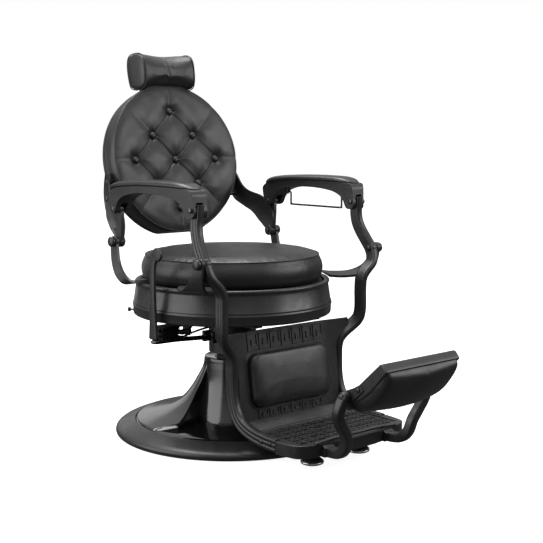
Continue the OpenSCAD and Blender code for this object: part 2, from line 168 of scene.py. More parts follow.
LEATHER = leather("black_leather", (0.011, 0.011, 0.012), (0.021, 0.021, 0.022), 0.36)
PAD = leather("arm_pad_vinyl", (0.011, 0.011, 0.012), (0.018, 0.018, 0.019), 0.3)
# the third colour of each coated metal is a painted highlight for its sharp edges
CAST = coated_metal("cast_black", (0.013, 0.013, 0.014), (0.022, 0.022, 0.023), (0.06, 0.06, 0.062), 0.34)
RING = coated_metal("ring_black", (0.018, 0.018, 0.019), (0.026, 0.026, 0.028), (0.05, 0.05, 0.052), 0.3, 0.00006)
# Painted reflection: the heel strip's black satin sheet is given a lighter grey than the castings, standing in for the
# light it reflects.
SHEET = coated_metal("painted_reflection_sheet", (0.05, 0.05, 0.052), (0.08, 0.08, 0.083), (0.12, 0.12, 0.12), 0.3, 0.0001)
GLOSS = gloss_paint("gloss_black", 0.06)
SATIN = gloss_paint("pedestal_black", 0.15)
STEEL = bright_metal("bright_steel", (0.5, 0.5, 0.52), (0.78, 0.79, 0.81), 0.12)
DARK_STEEL = bright_metal("dark_steel", (0.05, 0.05, 0.055), (0.14, 0.14, 0.15), 0.25)
BRONZE = bright_metal("bronze", (0.4, 0.26, 0.12), (0.6, 0.42, 0.2), 0.3)
RUBBER = rubber("black_rubber")

# ---------------------------------------------------------------- mesh helpers


def spline(points, n):
    """Catmull-Rom curve through the points, n steps between each pair."""
    p = np.array(points, float)
    p = np.vstack([p[0], p, p[-1]])
    out = []
    for i in range(1, len(p) - 2):
        a, b, c, d = p[i - 1:i + 3]
        for t in np.arange(n) / n:
            out.append(0.5 * (2 * b + (c - a) * t + (2 * a - 5 * b + 4 * c - d) * t**2 + (3 * b - a - 3 * c + d) * t**3))
    out.append(p[-2])
    return np.array(out)


def make(name, verts, faces, mat, body, slot, replaces=()):
    """A piece from vertices in millimetres; it rides on a body. Its slot argument is not used."""
    mesh = bpy.data.meshes.new(name)
    mesh.from_pydata([tuple(v) for v in np.asarray(verts, float) * MM], [], [tuple(int(i) for i in f) for f in faces])
    mesh.validate()
    bm = bmesh.new()
    bm.from_mesh(mesh)
    bmesh.ops.remove_doubles(bm, verts=bm.verts, dist=1e-6)
    bmesh.ops.recalc_face_normals(bm, faces=bm.faces)
    bm.to_mesh(mesh)
    bm.free()
    mesh.polygons.foreach_set("use_smooth", [True] * len(mesh.polygons))
    obj = bpy.data.objects.new(name, mesh)
    bpy.context.scene.collection.objects.link(obj)
    obj.data.materials.append(mat)
    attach(obj, body)
    if replaces:
        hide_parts(*replaces)
    return obj


def casting(name, part, body, *nodes):
    return make(name, *part, CAST, body, "cast_black", nodes)


def upholstery(name, part, body, *nodes):
    return make(name, *part, LEATHER, body, "black_leather", nodes)


def grid_faces(rows, cols, close_rows=False, close_cols=False, start=0):
    faces = []
    for i in range(rows if close_rows else rows - 1):
        for j in range(cols if close_cols else cols - 1):
            a, b = start + i * cols + j, start + i * cols + (j + 1) % cols
            c, d = start + ((i + 1) % rows) * cols + (j + 1) % cols, start + ((i + 1) % rows) * cols + j
            faces.append((a, b, c, d))
    return faces


def revolve(profile, segments=160, center=(0, 0, 0)):
    """Vertices and faces of a profile of (radius, z) turned about Z."""
    angles = np.linspace(0, 2 * math.pi, segments, endpoint=False)
    verts = [(center[0] + r * math.cos(a), center[1] + r * math.sin(a), center[2] + z) for r, z in profile for a in angles]
    return verts, grid_faces(len(profile), segments, close_cols=True)


def sweep(path, section, side=(1, 0, 0), sizes=None, closed=False):
    """Sweeps a closed section of (along side, across) points along a 3-D path, with flat ends."""
    p = np.array(path, float)
    tangent = np.roll(p, -1, 0) - np.roll(p, 1, 0) if closed else np.gradient(p, axis=0)
    tangent /= np.linalg.norm(tangent, axis=1)[:, None]
    side = np.array(side, float)
    across = side - (tangent @ side)[:, None] * tangent
    across /= np.linalg.norm(across, axis=1)[:, None]
    up = np.cross(tangent, across)
    sec = np.array(section, float)
    sizes = np.ones((len(p), 2)) if sizes is None else np.array(sizes, float)
    verts = []
    for k in range(len(p)):
        verts.extend(p[k] + sec[:, :1] * sizes[k, 0] * across[k] + sec[:, 1:] * sizes[k, 1] * up[k])
    faces = grid_faces(len(p), len(sec), close_rows=closed, close_cols=True)
    if not closed:
        faces += [tuple(range(len(sec)))[::-1], tuple(range(len(verts) - len(sec), len(verts)))]
    return verts, faces


def merged(*parts):
    verts, faces = [], []
    for v, f in parts:
        base = len(verts)
        verts.extend(list(map(tuple, v)))
        faces.extend(tuple(i + base for i in face) for face in f)
    return verts, faces


def circle(radius, n=20):
    return [(radius * math.cos(a), radius * math.sin(a)) for a in np.linspace(0, 2 * math.pi, n, endpoint=False)]


def rounded_box(w, d, r, steps=5):
    """Outline of a w by d rectangle with corners of radius r."""
    out = []
    for sx, sy, start in ((1, 1, 0), (-1, 1, 90), (-1, -1, 180), (1, -1, 270)):
        for k in range(steps + 1):
            a = math.radians(start + 90 * k / steps)
            out.append((sx * (w / 2 - r) + r * math.cos(a), sy * (d / 2 - r) + r * math.sin(a)))
    return out


def prism_faces(n):
    """Faces between two copies of an outline of n points."""
    return [tuple(range(n))[::-1], tuple(range(n, 2 * n))] + [(i, (i + 1) % n, n + (i + 1) % n, n + i) for i in range(n)]


def slab(outline, x0, x1):
    """A side outline of (y, z) points, extruded across from x0 to x1."""
    return [(x, y, z) for x in (x0, x1) for y, z in outline], prism_faces(len(outline))


def block(corner, xs, ys, zs):
    """A box whose eight corners are placed by the function corner."""
    verts = [corner(x, y, z) for x in xs for y in ys for z in zs]
    return verts, [(0, 1, 3, 2), (4, 6, 7, 5), (0, 4, 5, 1), (2, 3, 7, 6), (0, 2, 6, 4), (1, 5, 7, 3)]


def tube(rings):
    """Closed rings of points joined in a row, with flat ends."""
    count, last = len(rings[0]), len(rings[0]) * (len(rings) - 1)
    faces = grid_faces(len(rings), count, close_cols=True)
    faces += [tuple(range(count))[::-1], tuple(range(last, last + count))]
    return [v for ring in rings for v in ring], faces


def bevel(obj, width, segments=3, angle=35):
    mod = obj.modifiers.new("bevel", "BEVEL")
    mod.width = width * MM
    mod.segments = segments
    mod.limit_method = "ANGLE"
    mod.angle_limit = math.radians(angle)
    mod.harden_normals = True
    return obj


def subdivide(obj, levels=1):
    mod = obj.modifiers.new("subdivision", "SUBSURF")
    mod.levels = levels
    mod.render_levels = levels
    return obj


def cut(obj, *boxes):
    """Cuts boxes, each a (low, high) pair, out of a piece and applies the result to its mesh."""
    bm = bmesh.new()
    for low, high in boxes:
        middle, size = (np.array(low) + np.array(high)) / 2 * MM, (np.array(high) - np.array(low)) * MM
        bmesh.ops.create_cube(bm, size=1, matrix=Matrix.Translation(middle) @ Matrix.Diagonal((*size, 1)))
    tool_mesh = bpy.data.meshes.new("cutter")
    bm.to_mesh(tool_mesh)
    bm.free()
    tool = bpy.data.objects.new("cutter", tool_mesh)
    bpy.context.scene.collection.objects.link(tool)
    mod = obj.modifiers.new("cut", "BOOLEAN")
    mod.object = tool
    mod.solver = "EXACT"
    apply_modifiers(obj)
    bpy.data.objects.remove(tool)
    return obj


def apply_modifiers(obj):
    graph = bpy.context.evaluated_depsgraph_get()
    mesh = bpy.data.meshes.new_from_object(obj.evaluated_get(graph))
    obj.modifiers.clear()
    obj.data = mesh
    mesh.polygons.foreach_set("use_smooth", [True] * len(mesh.polygons))


def mirror(part, sign):
    verts, faces = part
    return [(sign * x, y, z) for x, y, z in verts], faces


def puff(obj, voxel, pressure, cap, hold):
    """Inflates a pad by cloth simulation. hold(points in mm) gives 0 where it's held and 1 where it's free."""
    mod = obj.modifiers.new("remesh", "REMESH")
    mod.mode = "VOXEL"
    mod.voxel_size = voxel * MM
    apply_modifiers(obj)
    relax = obj.modifiers.new("relax", "SMOOTH")
    relax.factor = 0.5
    relax.iterations = 6
    apply_modifiers(obj)
    start = np.array([v.co for v in obj.data.vertices])
    cloth = obj.modifiers.new("cloth", "CLOTH")
    cloth.settings.quality = 4
    cloth.settings.use_pressure = True
    cloth.settings.uniform_pressure_force = pressure
    cloth.settings.effector_weights.gravity = 0
    cloth.settings.tension_stiffness = 12
    cloth.settings.bending_stiffness = 0.4
    cloth.point_cache.frame_start = 1
    cloth.point_cache.frame_end = 20
    for step in range(1, 21):
        bpy.context.scene.frame_set(step)
    graph = bpy.context.evaluated_depsgraph_get()
    moved = np.array([v.co for v in obj.evaluated_get(graph).data.vertices])
    obj.modifiers.clear()
    step = moved - start
    length = np.linalg.norm(step, axis=1, keepdims=True) + 1e-12
    step *= np.minimum(1, cap * MM / length) * hold(start / MM)[:, None]
    obj.data.vertices.foreach_set("co", (start + step).ravel())
    obj.data.update()
    bpy.context.scene.frame_set(1)
    subdivide(obj)
    obj.data.materials.clear()
    obj.data.materials.append(LEATHER)
    return obj


def free(points):
    return np.ones(len(points))


# the back's own frame: X across, t along its normal to the rear, s up the back
TILT = math.radians(11)
BACK_Y, BACK_Z = 281, 816


def back(x, t, s):
    return (x, BACK_Y + t * math.cos(TILT) + s * math.sin(TILT), BACK_Z - t * math.sin(TILT) + s * math.cos(TILT))


# ---------------------------------------------------------------- base


def build_base():
    rim = [(0, 0), (338, 0), (348, 2), (354, 7), (355.5, 13), (353, 20), (344, 27), (330, 33), (314, 39), (303, 42.5),
           (298.5, 43.5), (296.5, 42.5), (296, 40), (296, 30), (0, 30)]
    rim = [rim[0]] + list(spline(rim[1:-2], 3)) + rim[-2:]
    casting("base_casting", revolve(rim, 200), "root", "base_plate")
    disc = [(72, 31), (72, 45), (120, 47), (200, 46), (270, 44), (291, 42.5), (294.5, 41), (295.2, 38), (295.2, 31)]
    make("base_disc", *revolve(disc, 200), GLOSS, "root", "gloss_black", ["base_cover"])
    build_pedestal()


# the pedestal's height at each radius, and the half width of its two wings at each distance out
FLARE = [(86, 231), (86.5, 214), (92, 195), (106, 168), (124, 137), (148, 106), (172, 86), (203, 70), (250, 56),
         (291, 47)]
WING = [(60, 34), (84, 50), (106, 70), (122, 96), (136, 132), (146, 160), (153, 183)]
BASE_TURN = math.radians(-40.7)


def build_pedestal():
    flare = spline(FLARE, 6)
    order = np.argsort(flare[:, 0])

    def height(r):
        return np.interp(r, flare[order, 0], flare[order, 1])

    side = spline(WING, 6)
    far = 291
    cone = [(86.4, 222), (87.5, 208), (93, 152), (104, 108), (116, 76), (129, 47)]
    column = [(54, 226), (78, 228), (83, 231), (85.5, 229)] + [tuple(p) for p in spline(cone, 4)]
    parts = [revolve(column + [(129, 45.5), (54, 45.5)], 96)]
    rounding = 7
    for sign in (1, -1):
        rows = np.concatenate([np.linspace(64, 153, 40), np.linspace(156, far - 1, 40)])
        cols = np.linspace(-1, 1, 49)
        verts = []
        for s in rows:
            reach = np.interp(s, side[:, 0], side[:, 1]) if s <= 153 else math.sqrt(max(far**2 - s**2, 1))
            reach = min(reach, 184 + (s - 153) * 0.02, math.sqrt(max(far**2 - s**2, 1)))
            for c in cols:
                n = c * reach
                r = math.hypot(s, n)
                edge = reach - abs(n)
                drop = rounding - math.sqrt(max(rounding**2 - max(rounding - edge, 0)**2, 0))
                verts.append((s, n, max(height(r) - drop, 44)))
        verts += [(s, n, 43) for s, n, _ in verts]
        parts.append(([(sign * x, sign * y, z) for x, y, z in verts], two_sided(len(rows), len(cols))))
    verts, faces = merged(*parts)
    ca, sa = math.cos(BASE_TURN), math.sin(BASE_TURN)
    verts = [(x * ca - y * sa, x * sa + y * ca, z) for x, y, z in verts]
    piece = make("pedestal_casting", verts, faces, SATIN, "root", "gloss_black", ["pedestal_cover"])
    sharp_by_angle(piece, 40)


def sharp_by_angle(obj, degrees):
    bm = bmesh.new()
    bm.from_mesh(obj.data)
    for edge in bm.edges:
        if len(edge.link_faces) == 2 and edge.calc_face_angle(0) > math.radians(degrees):
            edge.smooth = False
    bm.to_mesh(obj.data)
    bm.free()


# ---------------------------------------------------------------- seat


def build_seat():
    ring = [(284, 367.5), (286, 366.2), (294, 366.2), (296.6, 368), (297.6, 372), (298, 390), (299.6, 393), (299.6, 396),
            (297.6, 398), (297.4, 400), (298, 402), (297.4, 404.5), (296, 407), (289.5, 450), (288.8, 454), (290.5, 456.5),
            (292.2, 460), (291.8, 464), (289, 467), (285, 467.4), (278, 467), (276, 464), (276, 458), (284, 454),
            (284, 367.5)]
    make("seat_apron", *revolve(ring, 256), RING, "seat", "cast_black", ["seat_ring"])
    body = [(0, 463), (236, 463), (252, 464), (262, 468), (271, 479), (275.5, 494), (275.5, 508), (271, 524), (263.5, 536),
            (255, 543), (240, 547.5), (200, 551.5), (100, 555.5), (0, 556.5)]
    body = body[:1] + [tuple(p) for p in spline(body[1:-1], 2)] + body[-1:]
    cushion = upholstery("seat_cushion_cover", revolve(body, 160), "seat", "seat_cushion")

    def hold(p):
        r = np.hypot(p[:, 0], p[:, 1])
        seam = 1 - np.exp(-((r - 259) / 9) ** 2 - ((p[:, 2] - 540) / 7) ** 2)
        return np.clip((p[:, 2] - 466) / 20, 0, 1) * seam

    puff(cushion, 6.0, 4.0, 3.5, hold)
    pucker(cushion)
    seam_z, seam_r = 540.5, 259.5
    turn = np.linspace(0, 2 * math.pi, 240, endpoint=False)
    path = [(seam_r * math.cos(a), seam_r * math.sin(a), seam_z) for a in turn]
    upholstery("seat_piping", sweep(path, circle(1.9, 10), side=(0, 0, 1), closed=True), "seat")
    for side_name, sign in (("left", 1), ("right", -1)):
        build_brackets(side_name, sign)
    knobs()


def pucker(obj):
    """Short puckers in the leather along the seat's seam."""
    for v in obj.data.vertices:
        x, y, z = v.co / MM
        r, a = math.hypot(x, y), math.atan2(y, x)
        near = math.exp(-((r - 258) / 12) ** 2) * math.exp(-((z - 540) / 16) ** 2)
        wave = math.sin(67 * a + 2 * math.sin(5 * a)) + 0.6 * math.sin(101 * a + 3 * math.sin(7 * a))
        v.co.z += near * wave * 0.5 * MM


def eye(radius, x0, x1, at, lip=2, n=40):
    """A boss turned about an axis along X, with rounded edges."""
    profile = [(0, x0), (radius - lip, x0), (radius - lip * 0.3, x0 + lip * 0.3), (radius, x0 + lip), (radius, x1 - lip),
               (radius - lip * 0.3, x1 - lip * 0.3), (radius - lip, x1), (0, x1)]
    angles = np.linspace(0, 2 * math.pi, n, endpoint=False)
    verts = [(x, at[0] + r * math.cos(a), at[1] + r * math.sin(a)) for r, x in profile for a in angles]
    return verts, grid_faces(len(profile), n, close_cols=True)


FRONT_PIVOT, REAR_PIVOT = (-277, 557), (165, 583)
FRONT_PIN, REAR_PIN = (-227, 694), (152, 680)


def flared_bracket(edges, thick, n=9):
    """A cast sheet that leaves the ring's lip flat and curves up to a pivot: edges are pairs of edge points, lip first."""
    first = spline([a for a, b in edges], 6)
    second = spline([b for a, b in edges], 6)
    grid = np.array([[a + (b - a) * u for u in np.linspace(0, 1, n)] for a, b in zip(first, second)])
    normal = np.cross(np.gradient(grid, axis=0), np.gradient(grid, axis=1))
    normal /= np.linalg.norm(normal, axis=2, keepdims=True)
    if normal[-1, n // 2, 0] > 0:
        normal = -normal
    inner = grid + normal * thick
    verts = [tuple(v) for v in np.concatenate([grid.reshape(-1, 3), inner.reshape(-1, 3)])]
    return verts, two_sided(len(grid), n)


def two_sided(rows, cols):
    """Faces of two grids of the same size, one behind the other, closed along their edges."""
    count = rows * cols
    top = grid_faces(rows, cols)
    loop = list(range(cols)) + [cols * (i + 1) - 1 for i in range(1, rows)]
    loop += list(range(count - 2, count - cols - 1, -1)) + [cols * i for i in range(rows - 2, 0, -1)]
    sides = [(a, b, b + count, a + count) for a, b in zip(loop, loop[1:] + loop[:1])]
    return top + [tuple(i + count for i in f[::-1]) for f in top] + sides


FRONT_SHEET = [((272, -103, 469), (216, -196, 469)), ((293, -124, 467), (248, -226, 467)),
               ((318, -170, 472), (290, -254, 472)), ((331, -214, 492), (318, -276, 490)),
               ((334.5, -244, 522), (331, -288, 520)), ((334.5, -260, 557), (334.5, -293, 557))]
REAR_SHEET = [((262, 50, 470), (256, 96, 470)), ((288, 66, 468), (290, 104, 462)), ((307, 88, 473), (313, 120, 463)),
              ((315, 114, 494), (319, 150, 486)), ((315, 138, 528), (317, 172, 526)), ((313, 150, 580), (313, 181, 580))]


def build_brackets(side_name, sign):
    sheet = flared_bracket(FRONT_SHEET, 9)
    part = merged(sheet, eye(17, 322.8, 335, FRONT_PIVOT))
    piece = casting("front_bracket_casting_" + side_name, mirror(part, sign), "seat", "front_bracket_" + side_name)
    bevel(piece, 2.2, 3, 50)
    sheet = flared_bracket(REAR_SHEET, 9)
    part = merged(sheet, eye(17, 301.8, 313, REAR_PIVOT))
    piece = casting("rear_bracket_casting_" + side_name, mirror(part, sign), "seat", "rear_bracket_" + side_name)
    bevel(piece, 2.2, 3, 50)


def knobs():
    front, rear = [], []
    for sign in (1, -1):
        front += [mirror(eye(15, 334.5, 347, FRONT_PIVOT, 4), sign), mirror(eye(9, 296, 301.6, FRONT_PIVOT, 3), sign)]
        rear += [mirror(eye(15, 312.5, 325.5, REAR_PIVOT, 4), sign), mirror(eye(9, 275, 280.6, REAR_PIVOT, 3), sign)]
    casting("front_pivot_knobs", merged(*front), "seat", "front_pivot_pins")
    casting("rear_pivot_knobs", merged(*rear), "seat", "rear_pivot_pins")


# ---------------------------------------------------------------- levers


def build_levers():
    path = spline([(-318, -42, 322), (-318, -42, 345), (-318, -42, 400), (-318, -42, 470), (-318, -44, 520),
                   (-318, -50, 547), (-318, -62, 562), (-318, -84, 568)], 6)
    t = np.linspace(0, 1, len(path))
    wide = np.interp(t, [0, 0.05, 0.15, 0.35, 0.6, 0.76, 0.88, 0.97, 1],
                     [1.1, 1.4, 1.25, 0.85, 0.74, 0.95, 1.5, 1.1, 0.6])
    part = sweep(path, rounded_box(9, 27, 3), sizes=np.c_[np.ones(len(t)), wide])
    casting("recline_handle", part, "tilt_handle", "recline_lever")
    build_lever_mount()
    y = 11
    bend = [(-280 - y * math.sin(a), y * math.cos(a), 304) for a in np.linspace(0, math.pi, 15)]
    path = [(-100, y, 297), (-112, y, 297), (-150, y, 299), (-220, y, 303)] + bend
    path += [(-220, -y, 303), (-150, -y, 299), (-112, -y, 297), (-100, -y, 297)]
    rods = sweep(spline(path, 3), circle(5, 16), side=(0, 0, 1))
    hub = slab([(-15, 289), (15, 289), (15, 305), (-15, 305)], -104, -78)
    make("pump_hairpin", *merged(rods, hub), DARK_STEEL, "pump", "cast_black", ["pump_lever"])
    turns, steps = 7, 24
    coil = [(-214 + 6 * math.cos(a), -12 + 6 * math.sin(a), 320 + 31 * a / (2 * math.pi * turns))
            for a in np.linspace(0, 2 * math.pi * turns, turns * steps)]
    make("return_coil", *sweep(coil, circle(1.5, 8), side=(0, 0, 1)), STEEL, "seat", "bright_steel", ["return_spring"])


def block_part(low, high):
    (x0, y0, z0), (x1, y1, z1) = low, high
    return slab([(y0, z0), (y1, z0), (y1, z1), (y0, z1)], x0, x1)


def build_lever_mount():
    """The dark box behind the recline handle, its strap to the rail and the bent release rods."""
    parts = [block_part((-300, -64, 352), (-130, -20, 357.5)), block_part((-301, -62, 318), (-246, -20, 352.5)),
             block_part((-206, -58, 322), (-200, -26, 353))]
    for path in ([(-246, -34, 336), (-228, -34, 330), (-206, -30, 324), (-180, -24, 334), (-160, -20, 348),
                  (-150, -18, 353)],
                 [(-246, -46, 326), (-214, -40, 318), (-180, -30, 322), (-130, -16, 326), (-90, -10, 328)]):
        parts.append(sweep(spline(path, 5), circle(3.2, 12), side=(0, 0, 1)))
    rod = spline([(-190, -20, 370), (-184, 60, 367), (-182, 140, 364), (-186, 200, 361), (-204, 246, 361)], 6)
    knob = revolve([(0, -7), (4, -6), (5.5, -2), (5.5, 2), (4, 6), (0, 7)], 20, (-206, 250, 361))
    casting("release_rod", merged(sweep(rod, circle(3, 12), side=(0, 0, 1)), knob), "seat", "tilt_release")
    bevel(make("lever_mount", *merged(*parts), GLOSS, "seat", "gloss_black", ["lever_bracket"]), 1.5, 2, 50)


# ---------------------------------------------------------------- back

PITCH = 77
BUTTONS = [(0, 2), (-1, 1), (1, 1), (-2, 0), (0, 0), (2, 0), (-1, -1), (1, -1), (0, -2)]
BACK_R, BACK_MID = 232, 6
REAR_R, REAR_MID, REAR_T = 237, -3, 46
BACK_LOW = -227  # the back's lower edge is flat, as it passes close to the seat
BUTTON_RISE = 5


def segment_distance(px, ps, a, b):
    ax, as_, bx, bs = *a, *b
    dx, ds = bx - ax, bs - as_
    t = np.clip(((px - ax) * dx + (ps - as_) * ds) / (dx * dx + ds * ds), 0, 1)
    return np.hypot(px - ax - t * dx, ps - as_ - t * ds), t


def back_depth(x, s):
    """How far the leather's front surface lies behind the front plane, at (x, s)."""
    r = np.hypot(x, s - BACK_MID) / BACK_R
    depth = 2.5 - 17 * np.minimum(np.abs(x) / BACK_R, 1) ** 2
    depth = depth - 12 * (1 - np.minimum(r, 1) ** 3)
    depth = depth + 3 * np.clip((r - 0.9) / 0.1, 0, 1) ** 2
    spots = [(i * PITCH, j * PITCH) for i, j in BUTTONS]
    pleat = np.zeros_like(x)
    for k, a in enumerate(spots):
        for b in spots[k + 1:]:
            if abs(math.hypot(a[0] - b[0], a[1] - b[1]) - PITCH * math.sqrt(2)) < 1:
                d, t = segment_distance(x, s, a, b)
                ends = 0.7 + 0.3 * np.abs(2 * t - 1)
                fold = 8.5 * np.exp(-(d / 26) ** 2) + 3.8 * np.exp(-d / 2.6)
                pleat = np.maximum(pleat, ends * fold)
    for i, j in BUTTONS:
        if (i, j) == (0, 0):
            continue
        a = np.array([i * PITCH, j * PITCH], float)
        out = a / np.linalg.norm(a)
        far = a + out * (BACK_R + 6 - np.dot(a - [0, BACK_MID], out))
        d, t = segment_distance(x, s, tuple(a), tuple(far))
        fade = np.clip(1 - t * 0.75, 0.25, 1)
        crease = np.clip(1 - 0.4 * t, 0.5, 1) * 2.2 * np.exp(-d / 1.6)
        pleat = np.maximum(pleat, fade * 5.5 * np.exp(-(d / 17) ** 2) + crease)
    dimple = np.zeros_like(x)
    for n, (bx, bs) in enumerate(spots):
        d = np.hypot(x - bx, s - bs)
        angle = np.arctan2(s - bs, x - bx)
        folds = 1 + 0.07 * np.cos(7 * angle + n) * np.clip(d / 14, 0, 1)
        dimple = np.maximum(dimple, 15.5 * folds * np.exp(-(d / 22) ** 1.6))
    return depth + np.maximum(pleat, dimple) + 0.35 * np.minimum(pleat, dimple)


def rim_point(angle, level):
    """A point on the cushion's side band: level 0 at the front piping, 1 where it meets the back plate."""
    r = BACK_R + (REAR_R - BACK_R) * level + 3.5 * math.sin(math.pi * min(level * 1.6, 1))
    x = r * math.cos(angle)
    s = r * math.sin(angle) + BACK_MID + (REAR_MID - BACK_MID) * level
    front = float(back_depth(np.array([BACK_R * math.cos(angle)]), np.array([BACK_R * math.sin(angle) + BACK_MID]))[0])
    return x, front + (REAR_T - front) * level, max(s, BACK_LOW)


def build_back():
    n = 240
    radii = np.concatenate([np.linspace(0, 0.97, 120)[1:], [0.98, 0.99, 0.996, 1.0]])
    turn = np.linspace(0, 2 * math.pi, n, endpoint=False)
    verts = [back(0, float(back_depth(np.zeros(1), np.array([BACK_MID * 1.0]))[0]), BACK_MID)]
    for r in radii:
        x = r * BACK_R * np.cos(turn)
        s = r * BACK_R * np.sin(turn) + BACK_MID
        t = back_depth(x, s) + 0.35 * np.sin(x / 9 + 1.5 * np.sin(s / 31)) * np.sin(s / 13 + np.sin(x / 23))
        verts += [back(a, b, c) for a, b, c in zip(x, t, s)]
    for level in (0.06, 0.25, 0.5, 0.75, 0.94, 1.0):
        verts += [back(*rim_point(a, level)) for a in turn]
    rings = (len(verts) - 1) // n
    faces = grid_faces(rings, n, close_cols=True, start=1)
    faces += [(0, 1 + k, 1 + (k + 1) % n) for k in range(n)]
    faces.append(tuple(range(len(verts) - n, len(verts)))[::-1])
    cover = upholstery("tufted_back", (verts, faces), "back", "back_cushion")
    # the back plate is covered in the same leather, with a domed middle
    rows = [(REAR_R - 5, 44), (REAR_R - 1, 46), (REAR_R, 51), (REAR_R - 1, 57), (REAR_R - 8, 63), (REAR_R - 26, 69),
            (REAR_R - 70, 74), (110, 77), (0, 78)]
    wide = turn[::2]
    verts = [back(r * math.cos(a), d, max(r * math.sin(a) + REAR_MID, BACK_LOW)) for r, d in spline(rows, 4) for a in wide]
    shell = make("back_casing", verts, grid_faces(len(verts) // len(wide), len(wide), close_cols=True), LEATHER, "back",
                 "black_leather", ["back_shell"])
    normal = tuple(Vector(back(0, 1, 0)) - Vector(back(0, 0, 0)))
    for name, level, radius in (("back_piping_front", 0.02, 1.9), ("back_piping_rear", 0.99, 1.8)):
        path = [back(*rim_point(a, level)) for a in turn]
        upholstery(name, sweep(path, circle(radius, 8), side=normal, closed=True), "back")
    path = [back(190 * math.cos(a), 73.4, 190 * math.sin(a) + REAR_MID) for a in wide]
    upholstery("back_casing_seam", sweep(path, circle(1.8, 8), side=normal, closed=True), "back")
    build_buttons()
    build_pillow()
    for side_name, sign in (("left", 1), ("right", -1)):
        build_back_arm(side_name, sign)


def build_buttons():
    parts = []
    for i, j in BUTTONS:
        bx, bs = i * PITCH, j * PITCH
        depth = float(back_depth(np.array([bx * 1.0]), np.array([bs * 1.0]))[0])
        dome = [(0, -8.5), (5, -7.8), (9, -5.5), (11.4, -2), (11.8, 0.5), (10.5, 2.5), (0, 3)]
        turn = np.linspace(0, 2 * math.pi, 28, endpoint=False)
        verts = [back(bx + r * math.cos(a), depth + d - BUTTON_RISE, bs + r * math.sin(a))
                 for r, d in spline(dome, 3) for a in turn]
        parts.append((verts, grid_faces(len(verts) // 28, 28, close_cols=True)))
    upholstery("covered_buttons", merged(*parts), "back", "back_buttons")


PILLOW = [(-2, 225), (-14, 227), (-25, 235), (-33, 255), (-36, 285), (-35, 308), (-27, 325), (-8, 336), (18, 341),
          (42, 341), (58, 331), (65, 308), (66, 282), (63, 254), (56, 238), (38, 230), (18, 226)]
PILLOW_MID = (15, 283)


def pillow_section(x, grow=1.0):
    """The pillow's outline at x: a dog-bone, slimmer in its middle."""
    waist = 1 - min(abs(x) / 95, 1) ** 1.6
    out = []
    for t, s in spline(PILLOW + PILLOW[:1], 3)[:-1]:
        front = max(0, (PILLOW_MID[0] - t) / 51)
        top = (s - PILLOW_MID[1]) / 58
        slim_t = t + 8 + 12 * waist * front**0.7
        slim_s = s - waist * (10 * max(top, 0) ** 1.2 + 8 * min(top, 0))
        out.append((PILLOW_MID[0] + (slim_t - PILLOW_MID[0]) * grow,
                    PILLOW_MID[1] + (slim_s - PILLOW_MID[1]) * grow))
    return out


def build_pillow():
    half = [(0, 1), (15, 1), (30, 1), (45, 1), (60, 1), (75, 1), (85, 1), (91, 0.995), (94.5, 0.975), (97, 0.93),
            (99, 0.86), (100.5, 0.7), (101.3, 0.5), (101.6, 0.25)]
    stations = [(-x, k) for x, k in half[:0:-1]] + half
    rings = [[back(x, *p) for p in pillow_section(x, k)] for x, k in stations]
    pillow = upholstery("headrest_cover", tube(rings), "headrest", "headrest_pillow")
    puff(pillow, 4.5, 3.0, 3.0, free)
    for name, x in (("pillow_piping_left", 93), ("pillow_piping_right", -93)):
        path = [back(x, *p) for p in pillow_section(x, 1.004)]
        upholstery(name, sweep(path, circle(1.6, 8), closed=True), "headrest")


WEB = [((286, 150, 586), (286, 181, 586)), ((286, 145, 604), (285, 198, 600)), ((285, 143, 622), (283.5, 218, 616)),
       ((284, 145, 642), (281, 234, 632)), ((283, 154, 662), (276, 250, 645)), ((281, 172, 682), (269, 264, 654)),
       ((276, 199, 697), (261, 278, 664)), ((269, 227, 705), (254, 293, 674)), ((262, 248, 713), (248, 306, 688)),
       ((255, 265, 727), (245, 314, 708)), ((250, 277, 746), (243, 316, 736)), ((247, 288, 764), (242, 312, 761)),
       ((245, 297, 776), (243, 307, 776))]


def build_back_arm(side_name, sign):
    """The narrow post carries the armrest's rear fork; the broad web, with raised edges, sweeps in to the back's side."""
    post = [(150, 575), (145, 606), (142, 640), (141, 672), (145, 688), (152, 693), (160, 689), (165, 676), (163, 640),
            (168, 606), (180, 575)]
    parts = [slab(post, 289, 300), eye(17, 281.5, 301, REAR_PIVOT), eye(13, 288.5, 307.5, REAR_PIN),
             eye(7, 226, 250, (299, 750), 1), eye(7, 218, 256, (294, 700), 1)]
    front = spline([a for a, b in WEB], 4)
    rear = spline([b for a, b in WEB], 4)
    across = [(0, 0), (0, 6), (0.09, 6), (0.13, 3), (0.5, 2), (0.87, 3), (0.91, 6), (1, 6), (1, 0)]
    rows = [[tuple(a + (b - a) * u + np.array([lift, 0, 0])) for u, lift in across] for a, b in zip(front, rear)]
    parts.append(tube(rows))
    piece = casting("back_arm_casting_" + side_name, mirror(merged(*parts), sign), "back", "back_arm_" + side_name)
    bevel(piece, 1.6, 2, 50)


# ---------------------------------------------------------------- armrests

ARM_X, ARM_W = 298, 58
FRAME_TOP = [(186, 716), (181, 728), (150, 740), (60, 750), (-60, 753), (-170, 752), (-216, 750), (-229, 745)]
FRAME_UNDER = [(-234, 734), (-236, 706), (-238, 690), (-234, 677), (-224, 672), (-211, 675), (-203, 686), (-196, 699),
               (-178, 713), (-140, 725), (-60, 732), (30, 730), (88, 720), (114, 706), (128, 690), (136, 674), (150, 667),
               (163, 670), (172, 681), (182, 700)]
PAD_TOP = [(178, 742), (160, 754), (110, 763), (30, 768), (-60, 770), (-150, 769), (-196, 765), (-221, 755)]


